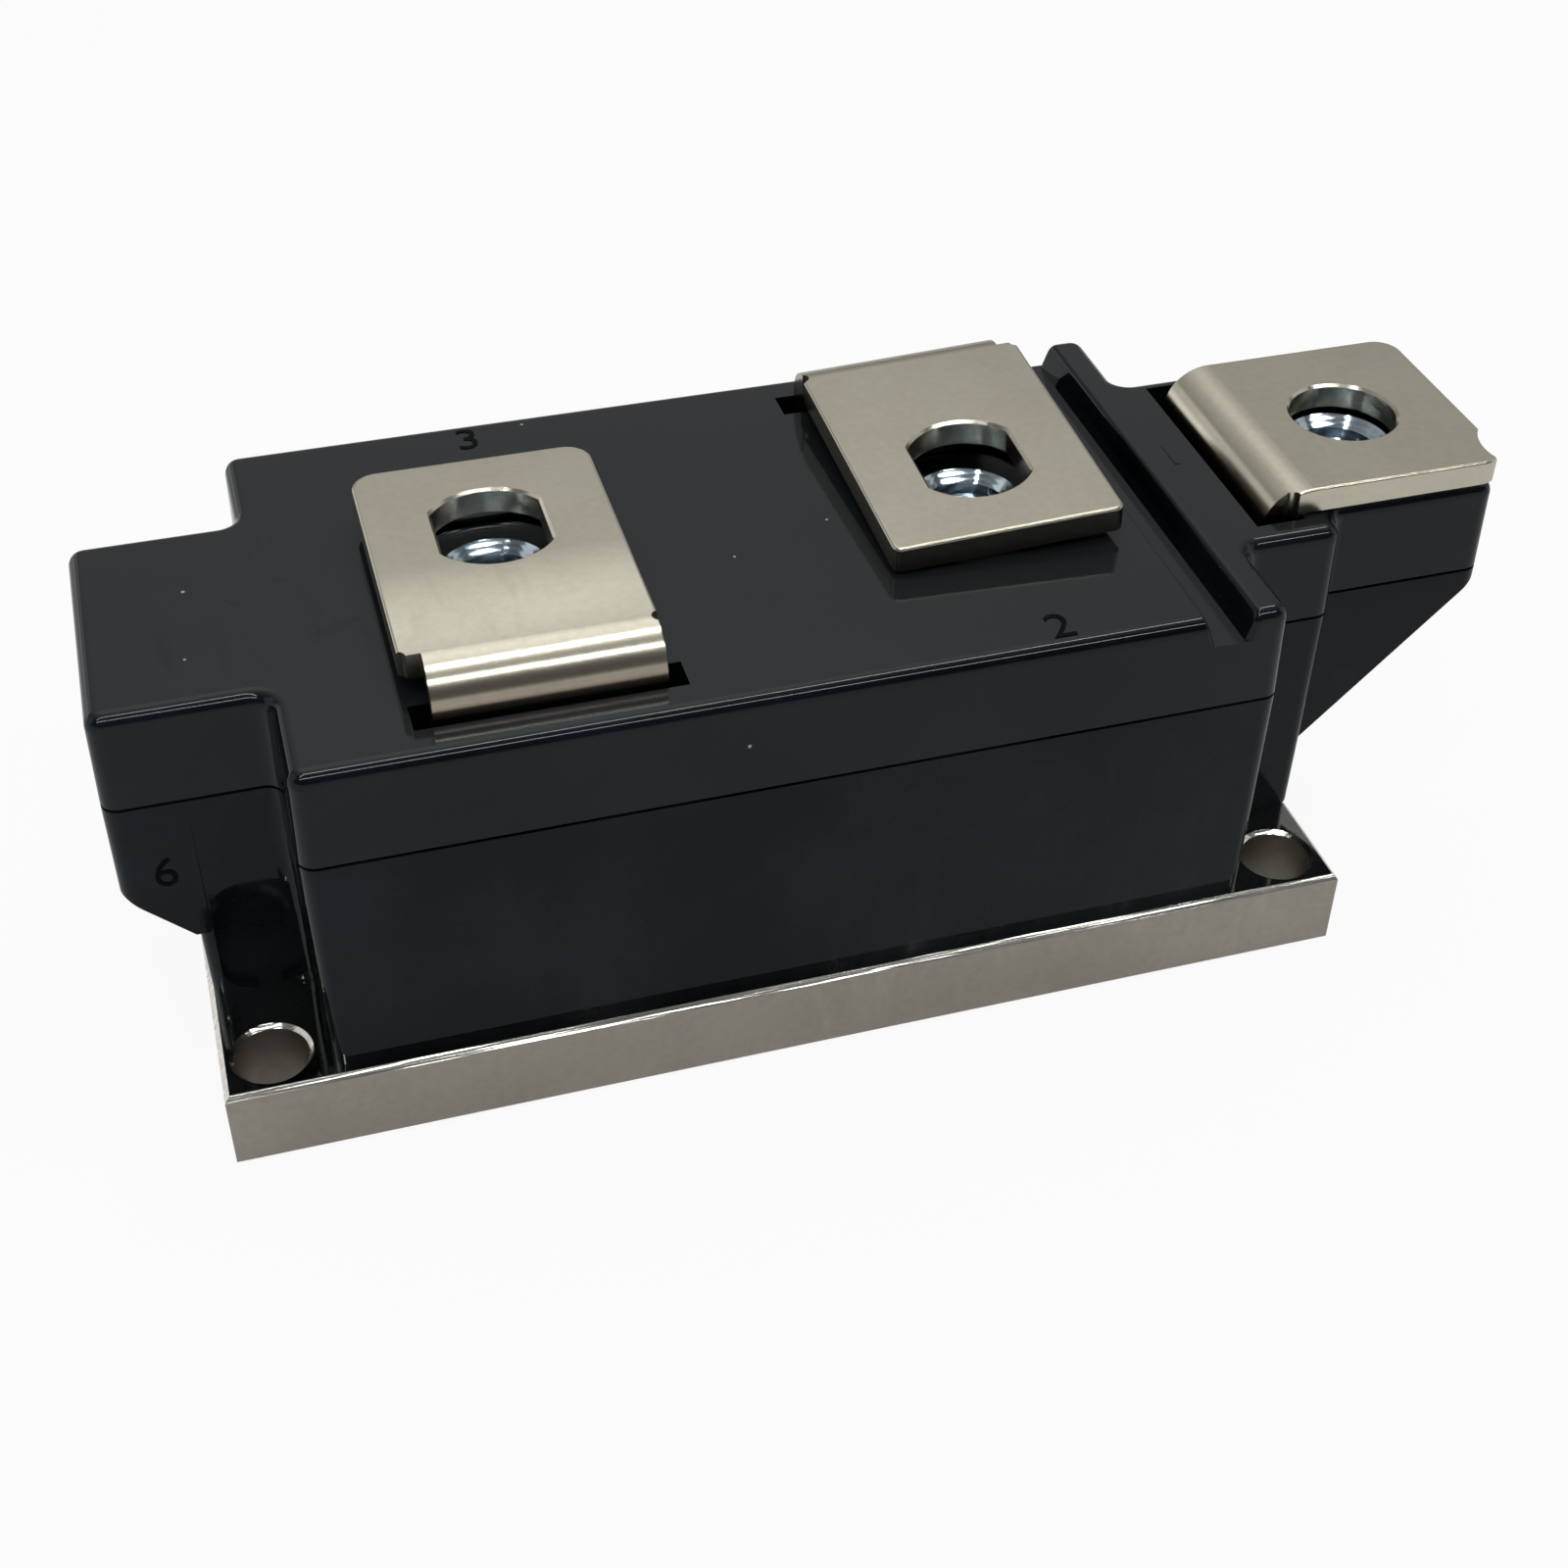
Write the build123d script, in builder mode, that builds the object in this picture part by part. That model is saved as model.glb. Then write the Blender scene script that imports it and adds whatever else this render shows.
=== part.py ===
from build123d import *
import math
import os

# Rectifier diode module: two pressed diode stacks in a moulded housing on a thick base plate.
# Millimetres. X runs along the module, Y across it, Z up. The origin is the centre of the
# base plate's underside.

# Base plate
BASE_LENGTH = 87.5
BASE_WIDTH = 43.0
BASE_THICKNESS = 7.0
BASE_EDGE_CHAMFER = 0.4
MOUNT_EDGE = 3.75
MOUNT_HOLE_D = 5.5
MOUNT_HOLE_CHAMFER = 0.3

# Housing heights, from the top of the base plate
FRAME_HEIGHT = 19.0
COVER_HEIGHT = 8.0

# Housing outline at the parting line
MAIN_LENGTH = 72.0
SIDE_MARGIN = 0.8
LEFT_NECK_LENGTH = 7.7
LEFT_NECK_WIDTH = 22.0
RIGHT_NECK_LENGTH = 8.3
RIGHT_NECK_WIDTH = 24.8
LEFT_END_LENGTH = 4.6
RIGHT_END_LENGTH = 14.5
RIGHT_END_WIDTH = 19.4
CORNER_RADIUS = 1.3
DRAFT_ANGLE = 1.0
WALL = 2.2
TOP_EDGE_RADIUS = 1.1
PARTING_CHAMFER = 0.25

# Undersides of the two overhangs
UNDERSIDE_ANGLE = 45.0
LEFT_END_SKIRT = 7.8
RIGHT_END_SKIRT = 0.6

# Arched relief beside the left mounting holes
RELIEF_LENGTH = 6.6
RELIEF_HEIGHT = 10.6
RELIEF_DEPTH = 1.0
RELIEF_CORNER = 2.4
RELIEF_START = 1.2

# Cover
DECK_THICKNESS = 4.6
LIP_DEPTH = 1.2
LIP_THICKNESS = 1.0
LIP_CLEARANCE = 0.1
LIP_LENGTH = 58.0
GROOVE_CENTRE = 31.2
GROOVE_TOP_WIDTH = 4.0
GROOVE_FLOOR_WIDTH = 2.4
GROOVE_DEPTH = 2.3
GROOVE_OUTER_RADIUS = 0.6
GROOVE_INNER_RADIUS = 0.3
TOLERANCE = 0.01
SLOT_CLEARANCE = 0.3
SLOT_EXTRA = 0.4
SLOT_END_CLEARANCE = 1.4

# Terminal straps
STRAP_THICKNESS = 2.0
STRAP_WIDTH = 18.0
STRAP_TAIL = 9.2
LEG_WIDTH = 16.2
LEG_SETBACK = 3.5
PLATE_CORNER_RADIUS = 2.0
TERMINAL_2_CORNER_RADIUS = 0.7
BEND_RADIUS = 3.2
FOOT_BEND_RADIUS = 3.0
NOTCH_RADIUS = 0.55
HOLE_LENGTH = 9.6
HOLE_ACROSS_FLATS = 8.0
HOLE_RIM = 0.2
STRAP_EDGE_RADIUS = 0.25
TERMINAL_3_LIFT = 1.6
TERMINAL_2_LIFT = 1.2
TERMINAL_2_PITCH = 3.2
TERMINAL_2_ROLL = 2.2
TERMINAL_1_LIFT = 0.25
TERMINAL_1_WIDTH = 19.6
TERMINAL_1_LEG_WIDTH = 18.8
TERMINAL_1_FOOT_WIDTH = 15.0
TERMINAL_1_LEG_X = 38.9
TERMINAL_1_STEP = 1.9
TERMINAL_1_TAIL = 9.2
TERMINAL_1_BEND_RADIUS = 3.6
TERMINAL_1_SLOT_START = 37.9
TERMINAL_1_SLOT_WIDTH = 4.0
TERMINAL_1_SLOT_SPARE = 1.2
TERMINAL_1_HOLE_D = 8.4
TERMINAL_1_SCALLOP_R = 4.5
TERMINAL_1_SCALLOP_X = 62.4
TERMINAL_1_SCALLOP_Y = -8.0

# Terminal nuts and their pockets
NUT_X = (-18.3, 18.3, 49.8)
NUT_ACROSS_FLATS = 13.0
NUT_HEIGHT = 6.5
NUT_BORE_D = 6.8
NUT_BORE_CHAMFER = 0.8
NUT_CHAMFER_ANGLE = 30.0
NUT_SINK = 0.4
POCKET_CLEARANCE = 0.3
WELL_D = 9.0
BOSS_D = 17.2
BOSS_FLOOR = 1.6
BOSS_CLEARANCE = 0.9

# Diode stacks, from the base plate upwards
STACK_X = 17.6
CERAMIC_D = 22.0
CERAMIC_THICKNESS = 1.0
LOWER_DISC_D = 16.0
LOWER_DISC_THICKNESS = 1.5
CHIP_THICKNESS = 0.5
UPPER_DISC_D = 13.0
UPPER_DISC_THICKNESS = 1.1
GUARD_WALL = 1.0
GUARD_DROP = 0.7
GUARD_RISE = 0.6
GUARD_CLEARANCE = 0.1
CAP_D = 17.0
CAP_THICKNESS = 2.5
CAP_PIN_D = 8.0
CAP_PIN_HEIGHT = 1.8
SPRING_D = 16.0
SPRING_BORE_CLEARANCE = 0.2
SPRING_THICKNESS = 0.7
SPRING_CONE = 0.3
CLAMP_SIZE = 29.0
CLAMP_THICKNESS = 2.4
CLAMP_CORNER = 3.0
SCREW_TO_EDGE = 3.0
SCREW_D = 4.0
SCREW_CLEARANCE = 0.1
SCREW_HEAD_D = 7.0
SCREW_HEAD_HEIGHT = 4.0
SCREW_SOCKET_ACROSS = 3.0
SCREW_SOCKET_DEPTH = 2.0
SCREW_REACH = 4.4
SCREW_HOLE_DEPTH = 4.8
SLEEVE_D = 6.0
SLEEVE_CLEARANCE = 0.1

# Link busbar and seal
LINK_WIDTH = 15.0
LINK_LAND = 7.0
LINK_RAMP = 4.0
LINK_GAP = 2.6
SEAL_WIDTH = 0.7
SEAL_HEIGHT = 0.6
SEAL_INSET = 0.9

# Lengths and widths worked out from the sizes above
MOUNT_PITCH_X = BASE_LENGTH - 2 * MOUNT_EDGE
MOUNT_PITCH_Y = BASE_WIDTH - 2 * MOUNT_EDGE
MAIN_WIDTH = BASE_WIDTH - 2 * SIDE_MARGIN
LEFT_NECK_REACH = MAIN_LENGTH / 2 + LEFT_NECK_LENGTH
RIGHT_NECK_REACH = MAIN_LENGTH / 2 + RIGHT_NECK_LENGTH
LEFT_END_REACH = LEFT_NECK_REACH + LEFT_END_LENGTH
RIGHT_END_REACH = RIGHT_NECK_REACH + RIGHT_END_LENGTH
LEG_FACE = MAIN_WIDTH / 2 - LEG_SETBACK
SCREW_SPACING = CLAMP_SIZE - 2 * SCREW_TO_EDGE

# Heights worked out from the sizes above
base_top = BASE_THICKNESS
parting_z = base_top + FRAME_HEIGHT
deck_z = parting_z + COVER_HEIGHT
ceramic_top = base_top + CERAMIC_THICKNESS
low_bar_top = ceramic_top + STRAP_THICKNESS
lower_disc_top = low_bar_top + LOWER_DISC_THICKNESS
chip_top = lower_disc_top + CHIP_THICKNESS
upper_disc_top = chip_top + UPPER_DISC_THICKNESS
high_bar_top = upper_disc_top + STRAP_THICKNESS
cap_top = high_bar_top + CAP_THICKNESS
spring_height = 2 * (SPRING_THICKNESS + SPRING_CONE)
spring_top = cap_top + spring_height
clamp_top = spring_top + CLAMP_THICKNESS
nut_top = deck_z - NUT_SINK
pocket_floor = nut_top - NUT_HEIGHT
boss_bottom = clamp_top + BOSS_CLEARANCE
well_floor = boss_bottom + BOSS_FLOOR
joint_z = deck_z - DECK_THICKNESS
frame_draft = FRAME_HEIGHT * math.tan(math.radians(DRAFT_ANGLE))

os.makedirs("parts", exist_ok=True)


def keep(piece, name):
    """Labels a finished piece and writes it as one file."""
    piece.part.label = name
    export_step(piece.part, f"parts/{name}.step")


def span(low, high, width, inset=0.0):
    """Rectangle from x = low to x = high, centred on y = 0, shrunk by an inset all round."""
    with Locations(((low + high) / 2, 0)):
        Rectangle(high - low - 2 * inset, width - 2 * inset)


def housing_outline(inset, with_ends):
    """Plan of the housing at the parting line, pulled in by an inset."""
    half = MAIN_LENGTH / 2
    with BuildSketch() as outline:
        span(-half, half, MAIN_WIDTH, inset)
        left_reach = LEFT_END_REACH if with_ends else LEFT_NECK_REACH
        span(-left_reach, half, LEFT_NECK_WIDTH, inset)
        span(-half, RIGHT_NECK_REACH, RIGHT_NECK_WIDTH, inset)
        if with_ends:
            span(-half, RIGHT_END_REACH, RIGHT_END_WIDTH, inset)
        fillet(outline.vertices(), CORNER_RADIUS if inset == 0 else CORNER_RADIUS / 2)
    return outline.sketch


def underside(reach, skirt, neck, direction, lap, spare=0.0):
    """Corners of an overhang's side profile below the parting line, with its slanted underside.
    It laps into the neck, and its top runs on by a spare amount."""
    skirt_z = parting_z - skirt
    neck_z = skirt_z - (reach - neck) * math.tan(math.radians(UNDERSIDE_ANGLE))
    inner_x = direction * (neck - lap)
    return (
        (inner_x, parting_z + spare),
        (direction * reach, parting_z + spare),
        (direction * reach, skirt_z),
        (direction * neck, neck_z),
        (inner_x, neck_z),
    )


# Base plate
with BuildPart() as base_plate:
    with BuildSketch():
        Rectangle(BASE_LENGTH, BASE_WIDTH)
    extrude(amount=BASE_THICKNESS)
    chamfer(base_plate.faces().sort_by(Axis.Z)[-1].edges(), BASE_EDGE_CHAMFER)
    chamfer(base_plate.faces().sort_by(Axis.Z)[0].edges(), BASE_EDGE_CHAMFER)
    with Locations((0, 0, base_top)):
        with GridLocations(MOUNT_PITCH_X, MOUNT_PITCH_Y, 2, 2):
            CounterSinkHole(MOUNT_HOLE_D / 2, MOUNT_HOLE_D / 2 + MOUNT_HOLE_CHAMFER, counter_sink_angle=90)
    with Locations((-STACK_X, 0, base_top), (STACK_X, 0, base_top)):
        with GridLocations(SCREW_SPACING, SCREW_SPACING, 2, 2):
            Hole(SCREW_D / 2, SCREW_HOLE_DEPTH)
keep(base_plate, "base_plate")

# Housing frame: open top and bottom, with a drafted outer wall and two slanted overhangs
with BuildPart() as housing_frame:
    with BuildSketch(Plane.XY.offset(parting_z)):
        add(housing_outline(0, False))
    extrude(amount=-FRAME_HEIGHT, taper=DRAFT_ANGLE)
    with BuildSketch(Plane.XZ.offset(LEFT_NECK_WIDTH / 2)):
        with BuildLine():
            Polyline(*underside(LEFT_END_REACH, LEFT_END_SKIRT, LEFT_NECK_REACH, -1, WALL / 2), close=True)
        make_face()
    extrude(amount=-LEFT_NECK_WIDTH)
    with BuildSketch(Plane.XZ.offset(RIGHT_END_WIDTH / 2)):
        with BuildLine():
            Polyline(*underside(RIGHT_END_REACH, RIGHT_END_SKIRT, RIGHT_NECK_REACH, 1, WALL / 2), close=True)
        make_face()
    extrude(amount=-RIGHT_END_WIDTH)
    end_edges = housing_frame.edges().filter_by(Axis.Z).group_by(Axis.X)
    fillet(end_edges[0] + end_edges[-1], CORNER_RADIUS)
    # Cavity
    with BuildSketch(Plane.XY.offset(parting_z)):
        add(housing_outline(WALL, False))
    extrude(amount=-FRAME_HEIGHT, taper=DRAFT_ANGLE, mode=Mode.SUBTRACT)
    for end_reach, skirt, neck, side, width in (
        (LEFT_END_REACH, LEFT_END_SKIRT, LEFT_NECK_REACH, -1, LEFT_NECK_WIDTH),
        (RIGHT_END_REACH, RIGHT_END_SKIRT, RIGHT_NECK_REACH, 1, RIGHT_END_WIDTH),
    ):
        inner = width - 2 * WALL
        with BuildSketch(Plane.XZ.offset(inner / 2)):
            with BuildLine():
                Polyline(*underside(end_reach, skirt, neck, side, 3 * WALL, WALL), close=True)
            make_face()
            offset(amount=-WALL, kind=Kind.INTERSECTION, mode=Mode.REPLACE)
        extrude(amount=-inner, mode=Mode.SUBTRACT)
    # Arched reliefs beside the left mounting holes
    arch_x = -LEFT_NECK_REACH + RELIEF_START + RELIEF_LENGTH / 2
    for side in (-1, 1):
        with BuildSketch(Plane.XZ.offset(-side * LEFT_NECK_WIDTH / 2)):
            with Locations((arch_x, base_top + RELIEF_HEIGHT / 2)):
                arch = Rectangle(RELIEF_LENGTH, RELIEF_HEIGHT)
            fillet(arch.vertices().group_by(Axis.Z)[-1], RELIEF_CORNER)
        extrude(amount=side * RELIEF_DEPTH, mode=Mode.SUBTRACT)
    # Groove for the seal
    with BuildSketch(Plane.XY.offset(base_top)):
        add(housing_outline(SEAL_INSET + frame_draft, False))
        add(housing_outline(SEAL_INSET + SEAL_WIDTH + frame_draft, False), mode=Mode.SUBTRACT)
    extrude(amount=SEAL_HEIGHT, mode=Mode.SUBTRACT)
keep(housing_frame, "housing_frame")

# Housing cover: deck with strap slots, nut pockets in round bosses and the cross groove
with BuildPart() as housing_cover:
    with BuildSketch(Plane.XY.offset(parting_z)):
        add(housing_outline(0, True))
    extrude(amount=COVER_HEIGHT)
    draft(housing_cover.faces().filter_by(Axis.Z, reverse=True), Plane.XY.offset(parting_z), DRAFT_ANGLE)
    fillet(housing_cover.faces().sort_by(Axis.Z)[-1].edges(), TOP_EDGE_RADIUS)
    chamfer(housing_cover.faces().sort_by(Axis.Z)[0].edges(), PARTING_CHAMFER)
    cover_wall = WALL + LIP_CLEARANCE + LIP_THICKNESS
    with BuildSketch(Plane.XY.offset(parting_z)):
        add(housing_outline(cover_wall, True))
    extrude(amount=COVER_HEIGHT - DECK_THICKNESS, mode=Mode.SUBTRACT)
    # Lips that drop inside the frame along both long walls
    lip_y = MAIN_WIDTH / 2 - cover_wall + LIP_THICKNESS / 2
    with BuildSketch(Plane.XY.offset(parting_z)):
        with Locations((0, -lip_y), (0, lip_y)):
            Rectangle(LIP_LENGTH, LIP_THICKNESS)
    extrude(amount=-LIP_DEPTH)
    # Bosses round the nut pockets
    with BuildSketch(Plane.XY.offset(boss_bottom)):
        with Locations((NUT_X[0], 0), (NUT_X[1], 0)):
            Circle(BOSS_D / 2)
    extrude(amount=deck_z - DECK_THICKNESS - boss_bottom)
    with BuildSketch(Plane.XY.offset(parting_z)):
        with Locations((NUT_X[2], 0)):
            Circle(BOSS_D / 2)
    extrude(amount=COVER_HEIGHT - DECK_THICKNESS)
    # Hexagonal nut pockets with a round well for the screw's tip
    pocket_across = NUT_ACROSS_FLATS + POCKET_CLEARANCE
    with BuildSketch(Plane.XY.offset(deck_z)):
        with Locations(*[(x, 0) for x in NUT_X]):
            RegularPolygon(pocket_across / 2, 6, major_radius=False)
    extrude(amount=-(deck_z - pocket_floor), mode=Mode.SUBTRACT)
    with BuildSketch(Plane.XY.offset(pocket_floor)):
        with Locations((NUT_X[0], 0), (NUT_X[1], 0)):
            Circle(WELL_D / 2)
    extrude(amount=well_floor - pocket_floor, mode=Mode.SUBTRACT)
    # Strap slots
    slot_width = STRAP_THICKNESS + SLOT_CLEARANCE + SLOT_EXTRA
    slot_y = LEG_FACE + SLOT_EXTRA - slot_width / 2
    slot_x = TERMINAL_1_SLOT_START + TERMINAL_1_SLOT_WIDTH / 2
    with BuildSketch(Plane.XY.offset(deck_z)):
        with Locations((-STACK_X, -slot_y), (STACK_X, slot_y)):
            Rectangle(LEG_WIDTH + 2 * SLOT_END_CLEARANCE, slot_width)
        with Locations((slot_x, (TERMINAL_1_WIDTH - TERMINAL_1_LEG_WIDTH) / 2)):
            Rectangle(TERMINAL_1_SLOT_WIDTH, TERMINAL_1_LEG_WIDTH + 2 * TERMINAL_1_SLOT_SPARE)
    extrude(amount=-COVER_HEIGHT, mode=Mode.SUBTRACT)
    # Cross groove between terminals 2 and 1
    with BuildSketch(Plane.XZ.offset(MAIN_WIDTH / 2)):
        with BuildLine():
            Polyline(
                (GROOVE_CENTRE - GROOVE_TOP_WIDTH / 2, deck_z),
                (GROOVE_CENTRE - GROOVE_FLOOR_WIDTH / 2, deck_z - GROOVE_DEPTH),
                (GROOVE_CENTRE + GROOVE_FLOOR_WIDTH / 2, deck_z - GROOVE_DEPTH),
                (GROOVE_CENTRE + GROOVE_TOP_WIDTH / 2, deck_z),
                close=True,
            )
        make_face()
    extrude(amount=-MAIN_WIDTH, mode=Mode.SUBTRACT)
    lengthwise = housing_cover.edges().filter_by(Axis.Y)
    for rim_x, rim_radius in (
        (GROOVE_CENTRE + GROOVE_TOP_WIDTH / 2, GROOVE_OUTER_RADIUS),
        (GROOVE_CENTRE - GROOVE_TOP_WIDTH / 2, GROOVE_INNER_RADIUS),
    ):
        rim = lengthwise.filter_by_position(Axis.X, rim_x - TOLERANCE, rim_x + TOLERANCE)
        fillet(rim, rim_radius)
keep(housing_cover, "housing_cover")


def strap_head(
    top, face, tail, corner, plate_width, leg_width, leg_shift,
    notch_sides, step, bend, hole, flats, pitch, roll,
):
    """Upper part of a bent terminal strap about its screw hole at x = 0, y = 0. The plate runs back
    to y = tail and bends down at the front, where the leg's outer face is at y = -face. The plate
    slopes by the pitch and leans sideways by the roll."""
    rise = math.tan(math.radians(pitch))
    inner_face = -face + STRAP_THICKNESS
    with BuildPart() as head:
        with BuildSketch(Plane.YZ.offset(-plate_width / 2)):
            with BuildLine():
                outer = FilletPolyline(
                    (tail, top - tail * rise),
                    (-face, top + face * rise),
                    (-face, joint_z),
                    radius=bend,
                )
                inner = FilletPolyline(
                    (tail, top - STRAP_THICKNESS - tail * rise),
                    (inner_face, top - STRAP_THICKNESS - inner_face * rise),
                    (inner_face, joint_z),
                    radius=bend - STRAP_THICKNESS,
                )
                Line(outer @ 0, inner @ 0)
                Line(outer @ 1, inner @ 1)
            make_face()
        extrude(amount=plate_width)
        fillet(head.edges().filter_by(Axis.Z).group_by(Axis.Y)[-1], corner)
        # Rolled edges of the punched strip
        plate_edges = head.faces().sort_by(Axis.Z)[-1].edges().sort_by(Axis.Y)
        fillet(plate_edges[1:], STRAP_EDGE_RADIUS)
        # Narrower bend and leg, with a round relief notch where each side steps in
        step_y = -face + step
        with BuildSketch(Plane.XY.offset(joint_z)):
            with Locations((0, step_y - face)):
                Rectangle(2 * plate_width, 2 * face)
            with Locations((leg_shift, step_y - face)):
                Rectangle(leg_width, 2 * face, mode=Mode.SUBTRACT)
            with Locations(*[(side * plate_width / 2, step_y) for side in notch_sides]):
                Circle(NOTCH_RADIUS)
        extrude(amount=2 * COVER_HEIGHT, mode=Mode.SUBTRACT)
        # Screw hole, with two flats where it is longer than wide
        with BuildSketch(Plane.XY.offset(deck_z)):
            Circle(hole / 2)
            Rectangle(flats, hole, mode=Mode.INTERSECT)
        extrude(amount=COVER_HEIGHT, mode=Mode.SUBTRACT)
        chamfer(head.faces().sort_by(Axis.Z)[-1].inner_wires()[0].edges(), HOLE_RIM)
    return head.part.rotate(Axis((0, 0, top), (0, 1, 0)), roll)


def side_strip(width, corners, radius):
    """Bent strip of one thickness, given by its upper or outer corners in the Y-Z plane."""
    with BuildPart() as strip:
        with BuildSketch(Plane.YZ.offset(-width / 2)):
            with BuildLine():
                centre = FilletPolyline(*corners, radius=radius)
                offset(amount=STRAP_THICKNESS / 2, side=Side.BOTH)
            make_face()
        extrude(amount=width)
    return strip.part


# Terminal 3 and terminal 2: the same strap, turned round, on a low and on a high foot
half_strap = STRAP_THICKNESS / 2
leg_y = -LEG_FACE + half_strap
leg_shift = NUT_X[1] - STACK_X
foot_end = LOWER_DISC_D / 2
terminal_3_top = deck_z + TERMINAL_3_LIFT + STRAP_THICKNESS
terminal_3_head = strap_head(
    terminal_3_top, LEG_FACE, STRAP_TAIL, PLATE_CORNER_RADIUS, STRAP_WIDTH, LEG_WIDTH, leg_shift,
    (-1, 1), BEND_RADIUS, BEND_RADIUS, HOLE_LENGTH, HOLE_ACROSS_FLATS, 0, 0,
)
terminal_3_foot = side_strip(
    LEG_WIDTH,
    (
        (leg_y, joint_z + half_strap),
        (leg_y, low_bar_top - half_strap),
        (foot_end, low_bar_top - half_strap),
    ),
    FOOT_BEND_RADIUS,
)
with BuildPart() as terminal_3:
    with Locations((NUT_X[0], 0, 0)):
        add(terminal_3_head)
    with Locations((-STACK_X, 0, 0)):
        add(terminal_3_foot)
keep(terminal_3, "terminal_3")

terminal_2_top = deck_z + TERMINAL_2_LIFT + STRAP_THICKNESS
terminal_2_head = strap_head(
    terminal_2_top, LEG_FACE, STRAP_TAIL, TERMINAL_2_CORNER_RADIUS, STRAP_WIDTH, LEG_WIDTH, leg_shift,
    (-1, 1), BEND_RADIUS, BEND_RADIUS, HOLE_LENGTH, HOLE_ACROSS_FLATS, TERMINAL_2_PITCH, TERMINAL_2_ROLL,
)
terminal_2_foot = side_strip(
    LEG_WIDTH,
    (
        (leg_y, joint_z + half_strap),
        (leg_y, high_bar_top - half_strap),
        (foot_end, high_bar_top - half_strap),
    ),
    FOOT_BEND_RADIUS,
)
with BuildPart() as terminal_2:
    with Locations(Location((NUT_X[1], 0, 0), (0, 0, 180))):
        add(terminal_2_head)
    with Locations(Location((STACK_X, 0, 0), (0, 0, 180))):
        add(terminal_2_foot)
keep(terminal_2, "terminal_2")

# Terminal 1: its leg stands at the right end and its foot runs back under the right diode
terminal_1_top = deck_z + TERMINAL_1_LIFT + STRAP_THICKNESS
terminal_1_leg = TERMINAL_1_LEG_X + half_strap
terminal_1_shift = (TERMINAL_1_LEG_WIDTH - TERMINAL_1_WIDTH) / 2
terminal_1_head = strap_head(
    terminal_1_top, NUT_X[2] - TERMINAL_1_LEG_X, TERMINAL_1_TAIL, PLATE_CORNER_RADIUS,
    TERMINAL_1_WIDTH, TERMINAL_1_LEG_WIDTH, terminal_1_shift, (1,), TERMINAL_1_STEP, TERMINAL_1_BEND_RADIUS,
    TERMINAL_1_HOLE_D, TERMINAL_1_HOLE_D, 0, 0,
)
terminal_1_foot = side_strip(
    TERMINAL_1_FOOT_WIDTH,
    (
        (terminal_1_leg, joint_z + half_strap),
        (terminal_1_leg, low_bar_top - half_strap),
        (0, low_bar_top - half_strap),
    ),
    FOOT_BEND_RADIUS,
)
with BuildPart() as terminal_1:
    with Locations(Location((NUT_X[2], 0, 0), (0, 0, -90))):
        add(terminal_1_head)
    with Locations(Location((0, 0, 0), (0, 0, -90))):
        add(terminal_1_foot)
    # Shallow scallop by the outer front corner
    with BuildSketch(Plane.XY.offset(deck_z)):
        with Locations((TERMINAL_1_SCALLOP_X, TERMINAL_1_SCALLOP_Y)):
            Circle(TERMINAL_1_SCALLOP_R)
    extrude(amount=COVER_HEIGHT, mode=Mode.SUBTRACT)
keep(terminal_1, "terminal_1")


def terminal_nut(x):
    """Hexagonal nut with chamfered corners and a chamfered bore, resting in its pocket."""
    corner = NUT_ACROSS_FLATS / math.sqrt(3)
    flat = NUT_ACROSS_FLATS / 2
    slope = (corner - flat) * math.tan(math.radians(NUT_CHAMFER_ANGLE))
    with BuildPart() as nut:
        with BuildSketch(Plane.XY.offset(pocket_floor)):
            RegularPolygon(flat, 6, major_radius=False)
        extrude(amount=NUT_HEIGHT)
        with BuildSketch(Plane.XZ):
            with BuildLine():
                Polyline(
                    (0, pocket_floor),
                    (flat, pocket_floor),
                    (corner, pocket_floor + slope),
                    (corner, nut_top - slope),
                    (flat, nut_top),
                    (0, nut_top),
                    close=True,
                )
            make_face()
        revolve(axis=Axis.Z, mode=Mode.INTERSECT)
        with Locations((0, 0, nut_top)):
            Hole(NUT_BORE_D / 2, NUT_HEIGHT)
        chamfer(nut.edges().filter_by(GeomType.CIRCLE).group_by(SortBy.RADIUS)[0], NUT_BORE_CHAMFER)
    nut.part = nut.part.moved(Location((x, 0, 0)))
    return nut


keep(terminal_nut(NUT_X[0]), "nut_3")
keep(terminal_nut(NUT_X[1]), "nut_2")
keep(terminal_nut(NUT_X[2]), "nut_1")

# Link busbar from the top of the left diode down to the foot of terminal 1
link_end = STACK_X - LOWER_DISC_D / 2 - LINK_GAP
link_start = -STACK_X - LOWER_DISC_D / 2
link_high = high_bar_top - half_strap
link_low = low_bar_top + half_strap
with BuildPart() as link_busbar:
    with BuildSketch(Plane.XZ.offset(LINK_WIDTH / 2)):
        with BuildLine():
            FilletPolyline(
                (link_start, link_high),
                (link_end - LINK_LAND - LINK_RAMP, link_high),
                (link_end - LINK_LAND, link_low),
                (link_end, link_low),
                radius=STRAP_THICKNESS,
            )
            offset(amount=half_strap, side=Side.BOTH)
        make_face()
    extrude(amount=-LINK_WIDTH)
keep(link_busbar, "link_busbar")

# Seal bead in the frame's bottom groove
with BuildPart() as base_seal:
    with BuildSketch(Plane.XY.offset(base_top)):
        add(housing_outline(SEAL_INSET + frame_draft, False))
        add(housing_outline(SEAL_INSET + SEAL_WIDTH + frame_draft, False), mode=Mode.SUBTRACT)
    extrude(amount=SEAL_HEIGHT)
keep(base_seal, "base_seal")


def disc(x, low, high, diameter, bore=0.0):
    """Flat disc or ring on a stack's axis."""
    with BuildPart() as plate:
        with BuildSketch(Plane.XY.offset(low)):
            with Locations((x, 0)):
                Circle(diameter / 2)
                if bore > 0:
                    Circle(bore / 2, mode=Mode.SUBTRACT)
        extrude(amount=high - low)
    return plate


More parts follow.
